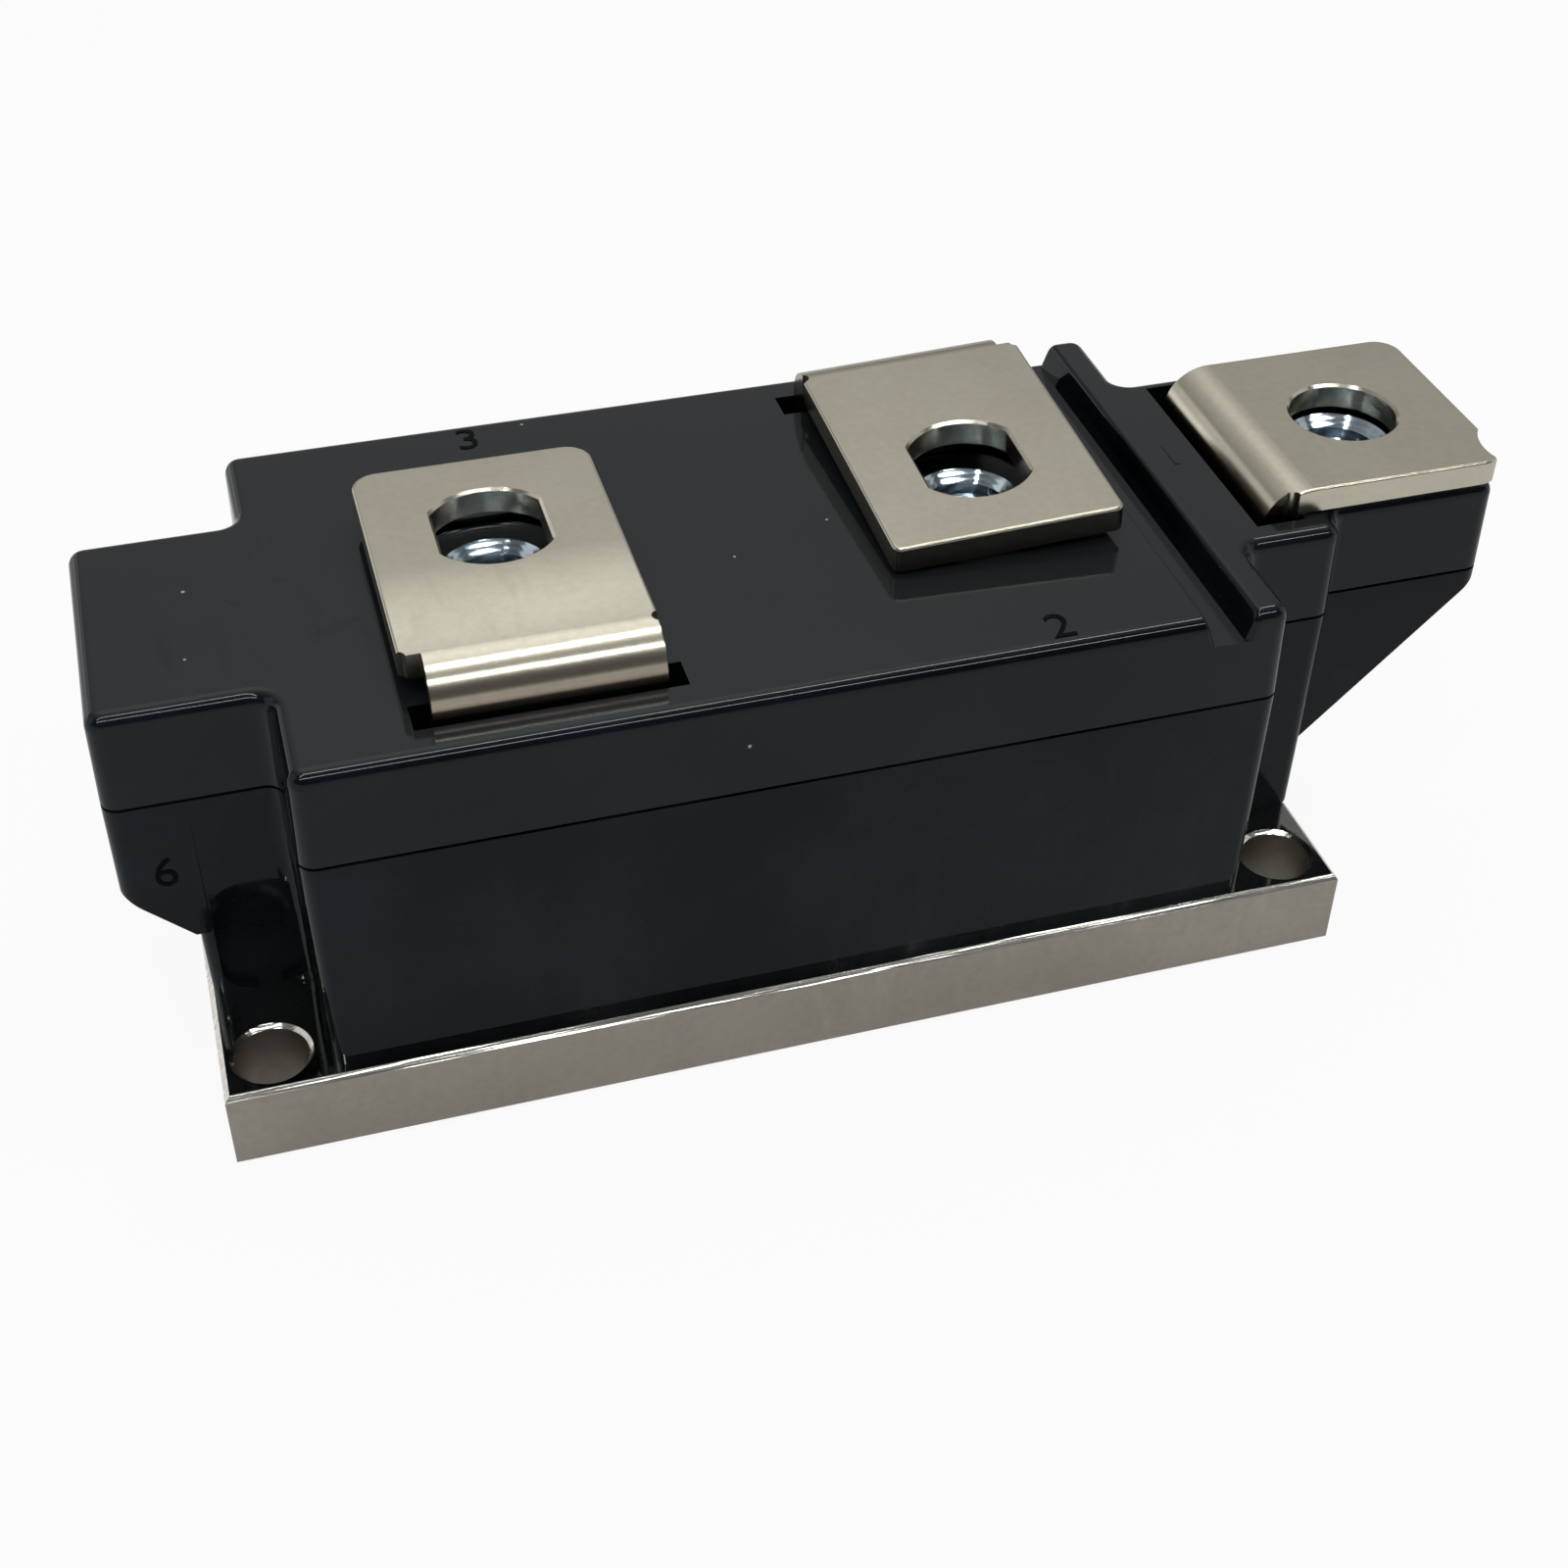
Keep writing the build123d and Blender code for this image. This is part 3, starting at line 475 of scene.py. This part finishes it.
def moulded_plastic(name, colour, worn_colour, roughness, specular, wave_mm, wipes, smudges_and_sheen=False, haze=None):
    """Black moulded plastic with waviness, wipe marks and dust, and the deck's own smudges and painted sheen.
    """
    finish, tree, shader = new_finish(name, colour, roughness, specular=specular)
    shader.inputs["Specular Tint"].default_value = (*GLOSS_TINT, 1)
    mottle = use_group(tree, mottle_group, Broad_Scale=48.0, Fine_Scale=1400.0, Fine_Share=0.15)
    wipe = use_group(tree, wipe_group, Scale=70.0, Amount=wipes)
    dust = use_group(tree, dust_group, Scale=420.0, Size=0.07, Amount=0.02)
    body = mix_colour(tree, mottle, colour, worn_colour)
    # Faces that point up turn lighter: painted sheen.
    if smudges_and_sheen:
        facing = axis_parts(tree, coordinates(tree, "Normal"))
        body = mix_colour(tree, add_range(tree, facing["Z"], *SHEEN_FACING), body, DECK_PAINTED_SHEEN)
    wiped = mix_colour(tree, wipe, body, haze or tuple(c * WIPED_SHARE for c in colour))
    dusted = mix_colour(tree, dust, wiped, DUST_COLOUR)
    rough = weighted(tree, (mottle, 0.07), (wipe, 0.20), (dust, 0.5))
    if smudges_and_sheen:
        for x, y, turn, half_length, half_width, ragged in SMUDGES:
            smudge = placed_mark(tree, x, y, half_length, half_width, ragged, turn)
            rough = weighted(tree, (smudge, 0.42), (rough, 1.0))
        for x, y, radius in DUST_SPOTS:
            spot = placed_mark(tree, x, y, radius, radius, DUST_RAGGED)
            dusted = mix_colour(tree, spot, dusted, SPOT_COLOUR)
    rough = add_math(tree, "ADD", rough, roughness, clamp=True)
    waves = add_noise(tree, coordinates(tree), WAVE_SCALE, 1.0, 0.4)
    grain = add_noise(tree, coordinates(tree), GRAIN_SCALE, 2.0, 0.5)
    relief = weighted(tree, (waves, 1.0), (grain, 0.02), (dust, 0.15))
    complete(tree, shader, dusted, rough, relief, wave_mm)
    print(finish.name, "nodes:", len(tree.nodes))
    return finish


cover_finish = moulded_plastic(
    "cover_plastic",
    colour=(0.0008, 0.0018, 0.0024),
    worn_colour=(0.0055, 0.0085, 0.0103),
    roughness=0.045,
    specular=0.29,
    wave_mm=0.06,
    wipes=0.5,
    smudges_and_sheen=True,
)
frame_finish = moulded_plastic(
    "frame_plastic",
    colour=(0.0, 0.0005, 0.0010),
    worn_colour=(0.0080, 0.0120, 0.0145),
    roughness=0.05,
    specular=0.18,
    wave_mm=0.08,
    wipes=0.35,
    haze=(0.012, 0.0135, 0.014),
)

# %% [markdown]
# ## Nickel-plated copper straps
# The straps are plated copper, a warm satin grey. The plating is slightly cloudy, with fine
# rolling lines across the module and small rub marks where lugs were tightened. Near the deck
# the colour turns dark brown, which is painted shade. The plate of one strap falls slightly
# towards its bend, too little to see in its outline, so its finish carries that dish.

# %% Strap finish
STRAP_COLOUR = (0.63, 0.595, 0.485)
STRAP_SHADE = (0.56, 0.525, 0.425)
# Dark brown blended in near the deck: painted shade.
STRAP_PAINTED_LOW_SHADE = (0.27, 0.185, 0.135)
STRAP_ROUGHNESS = 0.15
STRAP_RELIEF_MM = 0.003
ROLLING_LINE_SCALE = 2400.0
LONG_IN_Y = (1.0, 0.03, 1.0)
LOW_SHADE_SHARE = 0.85
RUB_SHADE = 0.8
# Heights in mm where the painted shade near the deck starts and where it is full.
LOW_SHADE_HEIGHTS_MM = {"terminal_1": (34.4, 33.2)}
USUAL_LOW_SHADE_HEIGHTS_MM = (36.1, 34.6)
# Terminal 2's strap is a darker copy of the same plating: painted shade.
STRAP_PAINTED_SHADE_FACTOR = {"terminal_2": 0.82}
# Where along y the dish starts and ends, and how deep it goes.
STRAP_DISH_MM = {"terminal_3": (-4.0, -17.0, 0.75)}


def strap_finish(name):
    """Satin plating with mottling, fine lines along y and painted brown shade near the deck."""
    # A strap listed above gets its colours darkened as painted shade.
    painted_shade_factor = STRAP_PAINTED_SHADE_FACTOR.get(name, 1.0)
    colour, shade = (tuple(c * painted_shade_factor for c in plain) for plain in (STRAP_COLOUR, STRAP_SHADE))
    finish, tree, shader = new_finish(f"strap_{name}", colour, STRAP_ROUGHNESS, metallic=1.0)
    mottle = use_group(tree, mottle_group, Broad_Scale=130.0, Fine_Scale=1500.0, Fine_Share=0.45)
    rub = use_group(tree, wipe_group, Scale=120.0, Amount=0.25)
    line_place = mapped(tree, coordinates(tree), scale=LONG_IN_Y)
    lines = add_noise(tree, line_place, ROLLING_LINE_SCALE, 4.0, 0.6)
    place = axis_parts(tree, coordinates(tree))

    clouded = mix_colour(tree, mottle, colour, shade)
    rubbed = mix_colour(tree, rub, clouded, tuple(c * RUB_SHADE for c in shade))
    # Painted shade: the colour turns dark brown towards the deck.
    low_shade_top, low_shade_bottom = (z * MM for z in LOW_SHADE_HEIGHTS_MM.get(name, USUAL_LOW_SHADE_HEIGHTS_MM))
    low_shade = add_range(tree, place["Z"], low_shade_top, low_shade_bottom, 0.0, LOW_SHADE_SHARE)
    rough = weighted(tree, (mottle, 0.04), (lines, 0.07), (rub, 0.05))
    rough = add_math(tree, "ADD", rough, STRAP_ROUGHNESS, clamp=True)
    relief = weighted(tree, (lines, 0.6), (mottle, 0.5))
    if name in STRAP_DISH_MM:
        start, end, depth = STRAP_DISH_MM[name]
        fall = add_range(tree, place["Y"], end * MM, start * MM, 0.0, depth / STRAP_RELIEF_MM)
        relief = add_math(tree, "ADD", relief, fall)
    complete(tree, shader, mix_colour(tree, low_shade, rubbed, STRAP_PAINTED_LOW_SHADE), rough, relief, STRAP_RELIEF_MM)
    print(finish.name, "nodes:", len(tree.nodes))
    return finish


# %% [markdown]
# ## Base plate
# The thick plate is plated copper too. Its ground top is almost a mirror and its sawn sides are
# satin, so the finish looks at the surface's own direction: where it faces up or down it turns
# smooth, and on the sides it keeps fine upright lines. The sides also get a much darker colour
# than the top, which is painted shade. The narrow slope between the two has lengthwise lines
# instead, which catch the lamp as one thin bright line along the edge.

# %% Base plate finish
# The sides' colours are much darker than the top's: painted shade.
SHADED_SIDE_COLOUR, SHADED_SIDE_MOTTLE = (0.420, 0.388, 0.340), (0.364, 0.335, 0.292)
TOP_COLOUR, TOP_SHADE = (0.88, 0.86, 0.80), (0.80, 0.77, 0.71)
BASE_RUB = (0.50, 0.465, 0.40)
SIDE_ROUGHNESS = 0.28
TOP_ROUGHNESS = 0.03
BASE_RELIEF_MM = 0.008
SAW_LINE_SCALE = 2200.0
LONG_IN_Z = (1.0, 1.0, 0.04)
EDGE_LINE_SCALE = 2600.0
LONG_IN_X = (0.02, 1.0, 1.0)
# How steeply a face points up or down: from side to flat, and from flat top to slope.
SIDE_TO_FLAT = (0.5, 0.68)
TOP_TO_SLOPE = (0.9, 0.75)

base_finish, tree, shader = new_finish("base_nickel", SHADED_SIDE_COLOUR, SIDE_ROUGHNESS, metallic=1.0)
facing_up = axis_parts(tree, coordinates(tree, "Normal"))["Z"]
flat_mask = add_range(tree, add_math(tree, "ABSOLUTE", facing_up), *SIDE_TO_FLAT)
side_mask = add_math(tree, "SUBTRACT", 1.0, flat_mask)
not_top = add_range(tree, facing_up, *TOP_TO_SLOPE)
edge_mask = add_math(tree, "MULTIPLY", flat_mask, not_top)
mottle = use_group(tree, mottle_group, Broad_Scale=110.0, Fine_Scale=1300.0, Fine_Share=0.5)
rub = use_group(tree, wipe_group, Scale=90.0, Amount=0.25)
saw_place = mapped(tree, coordinates(tree), scale=LONG_IN_Z)
saw_lines = add_noise(tree, saw_place, SAW_LINE_SCALE, 4.0, 0.6)
edge_place = mapped(tree, coordinates(tree), scale=LONG_IN_X)
edge_lines = add_noise(tree, edge_place, EDGE_LINE_SCALE, 2.0, 0.5)

shaded_side_colour = mix_colour(tree, mottle, SHADED_SIDE_COLOUR, SHADED_SIDE_MOTTLE)
top_colour = mix_colour(tree, mottle, TOP_COLOUR, TOP_SHADE)
# Bright top and darker sides: the sides carry painted shade.
top_and_shaded_sides = mix_colour(tree, flat_mask, shaded_side_colour, top_colour)
side_rough = add_math(tree, "ADD", weighted(tree, (mottle, 0.08), (saw_lines, 0.10)), SIDE_ROUGHNESS)
top_rough = weighted(tree, (mottle, 0.03), (rub, 0.08), (not_top, 0.13))
top_rough = add_math(tree, "ADD", top_rough, TOP_ROUGHNESS)
kept_side = add_math(tree, "MULTIPLY", side_rough, side_mask)
kept_top = add_math(tree, "MULTIPLY", top_rough, flat_mask)
base_rough = add_math(tree, "ADD", kept_side, kept_top)
side_lines = add_math(tree, "MULTIPLY", saw_lines, side_mask)
edge_lines = add_math(tree, "MULTIPLY", edge_lines, edge_mask)
base_relief = weighted(tree, (side_lines, 0.7), (mottle, 0.25), (edge_lines, 7.5))
complete(tree, shader, mix_colour(tree, rub, top_and_shaded_sides, BASE_RUB), base_rough, base_relief, BASE_RELIEF_MM)
print(base_finish.name, "nodes:", len(tree.nodes))

# %% [markdown]
# ## Bright zinc nuts
# The nuts under the straps are plated in bright, slightly blue zinc. Turning marks run round
# their chamfers, so their fine lines are rings about each nut's own axis.

# %% Nut finish
NUT_X_MM = {"nut_3": -18.3, "nut_2": 18.3, "nut_1": 49.8}
ZINC_COLOUR, ZINC_SHADE = (0.58, 0.67, 0.74), (0.43, 0.52, 0.59)
ZINC_ROUGHNESS = 0.07
ZINC_RELIEF_MM = 0.006
RING_SCALE = 900.0
RING_WOBBLE = 1.2


def zinc_finish(name, centre_x):
    """Blue-white zinc with turning rings about an upright axis."""
    finish, tree, shader = new_finish(name, ZINC_COLOUR, ZINC_ROUGHNESS, metallic=1.0)
    rings = tree.nodes.new("ShaderNodeTexWave")
    rings.wave_type = "RINGS"
    rings.rings_direction = "Z"
    rings.inputs["Scale"].default_value = RING_SCALE
    rings.inputs["Distortion"].default_value = RING_WOBBLE
    rings.inputs["Detail"].default_value = 2.0
    feed(tree, rings.inputs["Vector"], mapped(tree, coordinates(tree), location=(-centre_x * MM, 0, 0)))
    turned = rings.outputs["Fac"]
    mottle = use_group(tree, mottle_group, Broad_Scale=500.0, Fine_Scale=2500.0, Fine_Share=0.4)
    clouded = mix_colour(tree, mottle, ZINC_COLOUR, ZINC_SHADE)
    rough = add_math(tree, "ADD", weighted(tree, (mottle, 0.06), (turned, 0.05)), ZINC_ROUGHNESS)
    complete(tree, shader, clouded, rough, weighted(tree, (turned, 0.5), (mottle, 0.3)), ZINC_RELIEF_MM)
    print(finish.name, "nodes:", len(tree.nodes))
    return finish


# %% [markdown]
# ## Finishes inside the housing
# These pieces are closed in, but a stranger may take the module apart or cut it open in a
# drawing, so copper, steel, ceramic, silicon, insulating plastic and the seal get simple
# finishes of their own from the same shared effects.

# %% Inner finishes
ROUGHNESS_SPREAD = 0.12
INNER_FINISHES = [
    # name, colour, shade, roughness, metallic, pattern scale, relief in mm
    ("inner_copper", (0.78, 0.42, 0.27), (0.62, 0.31, 0.19), 0.22, 1.0, 160.0, 0.01),
    ("inner_steel", (0.44, 0.45, 0.47), (0.34, 0.35, 0.37), 0.28, 1.0, 200.0, 0.01),
    ("white_ceramic", (0.86, 0.86, 0.83), (0.80, 0.79, 0.75), 0.35, 0.0, 220.0, 0.01),
    ("grey_silicon", (0.30, 0.32, 0.37), (0.24, 0.26, 0.31), 0.08, 1.0, 300.0, 0.004),
    ("natural_insulator", (0.78, 0.74, 0.62), (0.70, 0.66, 0.54), 0.42, 0.0, 180.0, 0.01),
    ("dark_seal", (0.06, 0.06, 0.065), (0.04, 0.04, 0.045), 0.6, 0.0, 400.0, 0.02),
]

inner = {}
for name, colour, shade, roughness, metallic, scale, relief_mm in INNER_FINISHES:
    inner[name], tree, shader = new_finish(name, colour, roughness, metallic=metallic)
    mottle = use_group(tree, mottle_group, Broad_Scale=scale, Fine_Scale=scale * 12, Fine_Share=0.4)
    rough = add_math(tree, "ADD", add_math(tree, "MULTIPLY", mottle, ROUGHNESS_SPREAD), roughness)
    complete(tree, shader, mix_colour(tree, mottle, colour, shade), rough, mottle, relief_mm)
print("inner finishes:", len(inner))

# %% [markdown]
# ## Giving each solid its finish
# A solid keeps its mesh; only its material slot changes. The solids already have their rolled
# edges and corner radii, so they catch the light without a modifier.

# %% Assign finishes
OUTER_FINISHES = {"base_plate": base_finish, "housing_cover": cover_finish, "housing_frame": frame_finish}
INNER_BY_ENDING = {
    "insulating_disc": "white_ceramic",
    "diode_chip": "grey_silicon",
    "guard_ring": "natural_insulator",
    "screw_sleeves": "natural_insulator",
    "contact_disc": "inner_copper",
    "link_busbar": "inner_copper",
    "base_seal": "dark_seal",
}


def finish_for(name):
    """The finish of a solid, by its name. What is left over is steel."""
    if name in OUTER_FINISHES:
        return OUTER_FINISHES[name]
    if name in NUT_X_MM:
        return zinc_finish(f"zinc_{name}", NUT_X_MM[name])
    if name.startswith("terminal_"):
        return strap_finish(name)
    endings = (kind for ending, kind in INNER_BY_ENDING.items() if name.endswith(ending))
    return inner[next(endings, "inner_steel")]


for name, solid in sorted(nodes.items()):
    finish = finish_for(name)
    if solid.data.materials:
        solid.data.materials[0] = finish
    else:
        solid.data.materials.append(finish)
print("solids with a finish:", len(nodes))

# %% [markdown]
# ## Adding a piece
# Every fine piece is made as a mesh in its place, gets a finish, and rides on the one body.

# %% Piece helper
def add_piece(name, mesh, finish):
    """Puts a finished mesh in the scene as a piece of the module."""
    mesh.name = name
    mesh.materials.clear()
    mesh.materials.append(finish)
    piece = bpy.data.objects.new(name, mesh)
    bpy.context.scene.collection.objects.link(piece)
    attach(piece, "root")
    print(name, "faces:", len(mesh.polygons))


# %% [markdown]
# ## Thread turns in the nuts
# Each nut shows the top of its screw thread through the hole above it. The thread is a small
# flat-topped ridge spun round the axis while it sinks, which bmesh's spin does by itself when it
# is given a drop per step. Its ends never meet, so nothing is merged. The ridge stands in from
# the bore's wall, and its root reaches a little into the wall, so no gap shows.

# %% Thread ridges
THREAD_PITCH = 1.25
THREAD_TURNS = 4
THREAD_STEPS = 40
THREAD_DEPTH = 0.42
THREAD_TOP = 32.1
THREAD_ROOT = 0.03
BORE_RADIUS = 3.4
RIDGE_HALF_HEIGHT = 0.42 * THREAD_PITCH
CREST_HALF_HEIGHT = 0.15 * RIDGE_HALF_HEIGHT


def thread_ridge(centre_x):
    """Mesh of the helical ridge inside a nut's bore."""
    crest = BORE_RADIUS - THREAD_DEPTH
    middle = THREAD_TOP - RIDGE_HALF_HEIGHT
    profile = (
        (BORE_RADIUS + THREAD_ROOT, THREAD_TOP),
        (crest, middle + CREST_HALF_HEIGHT),
        (crest, middle - CREST_HALF_HEIGHT),
        (BORE_RADIUS + THREAD_ROOT, middle - RIDGE_HALF_HEIGHT),
    )
    bm = bmesh.new()
    section = bm.faces.new([bm.verts.new(Vector((r, 0, z)) * MM) for r, z in profile])
    bmesh.ops.spin(
        bm,
        geom=[section, *section.edges, *section.verts],
        cent=(0, 0, 0),
        axis=(0, 0, 1),
        dvec=(0, 0, -THREAD_PITCH * MM / THREAD_STEPS),
        angle=THREAD_TURNS * 2 * math.pi,
        steps=THREAD_TURNS * THREAD_STEPS,
        use_merge=False,
        use_duplicate=False,
    )
    bmesh.ops.translate(bm, verts=bm.verts, vec=(centre_x * MM, 0, 0))
    bmesh.ops.recalc_face_normals(bm, faces=bm.faces)
    mesh = bpy.data.meshes.new("thread")
    bm.to_mesh(mesh)
    bm.free()
    for face in mesh.polygons:
        face.use_smooth = True
    return mesh


for nut_name, centre_x in NUT_X_MM.items():
    nut_finish = nodes[nut_name].data.materials[0]
    add_piece(nut_name.replace("nut", "thread"), thread_ridge(centre_x), nut_finish)

# %% [markdown]
# ## Moulded numbers
# The terminals are numbered 3, 2 and 1 in the deck's plastic, and a small 6 stands in a scored
# box on the left end's wall. A text curve with a little depth is turned into a mesh, and then
# each is laid on the face that carries it, standing proud by a few hundredths of a millimetre.

# %% Number finish
number_finish = moulded_plastic(
    "number_plastic",
    colour=(0.0006, 0.0008, 0.001),
    worn_colour=(0.001, 0.0012, 0.0014),
    roughness=0.35,
    specular=0.05,
    wave_mm=0.02,
    wipes=0.2,
)

# %% Place the numbers
DIGIT_SHARE = 0.70
DECK_Z = 34.0
LEFT_WALL_Y = -11.0
TO_THE_RIGHT, TO_THE_BACK, UPWARDS = Vector((1, 0, 0)), Vector((0, 1, 0)), Vector((0, 0, 1))


def moulded_mark(name, digit, height_mm, proud_mm, middle, up, finish, slot):
    """One number with its middle at a point, read from left to right along x."""
    curve = bpy.data.curves.new(name, "FONT")
    curve.body = digit
    curve.size = height_mm * MM / DIGIT_SHARE
    curve.extrude = proud_mm * MM
    curve.align_x = "CENTER"
    text = bpy.data.objects.new(f"{name}_text", curve)
    bpy.context.scene.collection.objects.link(text)
    bpy.context.view_layer.update()
    mesh = bpy.data.meshes.new_from_object(text)
    bpy.data.objects.remove(text)
    low = Vector([min(v.co[i] for v in mesh.vertices) for i in range(3)])
    high = Vector([max(v.co[i] for v in mesh.vertices) for i in range(3)])
    turned = Matrix((TO_THE_RIGHT, up, TO_THE_RIGHT.cross(up))).transposed().to_4x4()
    mesh.transform(Matrix.Translation(-(low + high) / 2))
    mesh.transform(Matrix.Translation(Vector(middle) * MM) @ turned)
    add_piece(name, mesh, finish)


MARKS = [
    # name, digit, height and how far proud in mm, middle, up, finish, slot
    ("deck_number_3", "3", 2.9, 0.06, (-17.1, 17.9, DECK_Z), TO_THE_BACK, number_finish, "cover_plastic"),
    ("deck_number_2", "2", 2.8, 0.06, (18.8, -18.0, DECK_Z), TO_THE_BACK, number_finish, "cover_plastic"),
    ("deck_number_1", "1", 2.8, 0.05, (35.7, 0.95, DECK_Z), TO_THE_BACK, cover_finish, "cover_plastic"),
    ("wall_number_6", "6", 2.6, 0.05, (-44.9, LEFT_WALL_Y, 20.0), UPWARDS, number_finish, "frame_plastic"),
]
for mark in MARKS:
    moulded_mark(*mark)

# %% [markdown]
# The box round the 6 is a frame of fine lines. A plate on the wall is inset by the lines' width,
# its middle is taken out, and the rest gets its small thickness.

# %% Scored box round the 6
BOX_LEFT, BOX_RIGHT, BOX_LOW, BOX_HIGH = -47.2, -41.3, 17.9, 22.9
SCORE_WIDTH = 0.20
SCORE_PROUD = 0.03

box_corners = [(BOX_LEFT, BOX_LOW), (BOX_RIGHT, BOX_LOW), (BOX_RIGHT, BOX_HIGH), (BOX_LEFT, BOX_HIGH)]
bm = bmesh.new()
plate = bm.faces.new([bm.verts.new(Vector((x, LEFT_WALL_Y - SCORE_PROUD, z)) * MM) for x, z in box_corners])
bmesh.ops.inset_region(bm, faces=[plate], thickness=SCORE_WIDTH * MM, use_boundary=True)
bmesh.ops.delete(bm, geom=[plate], context="FACES")
bmesh.ops.solidify(bm, geom=bm.faces[:], thickness=2 * SCORE_PROUD * MM)
bmesh.ops.recalc_face_normals(bm, faces=bm.faces)
box_mesh = bpy.data.meshes.new("scored_box")
bm.to_mesh(box_mesh)
bm.free()
add_piece("scored_box", box_mesh, number_finish)

# %% [markdown]
# ## View settings
# The view transform is set to Standard.

# %% View settings and finish
bpy.context.scene.view_settings.view_transform = "Standard"
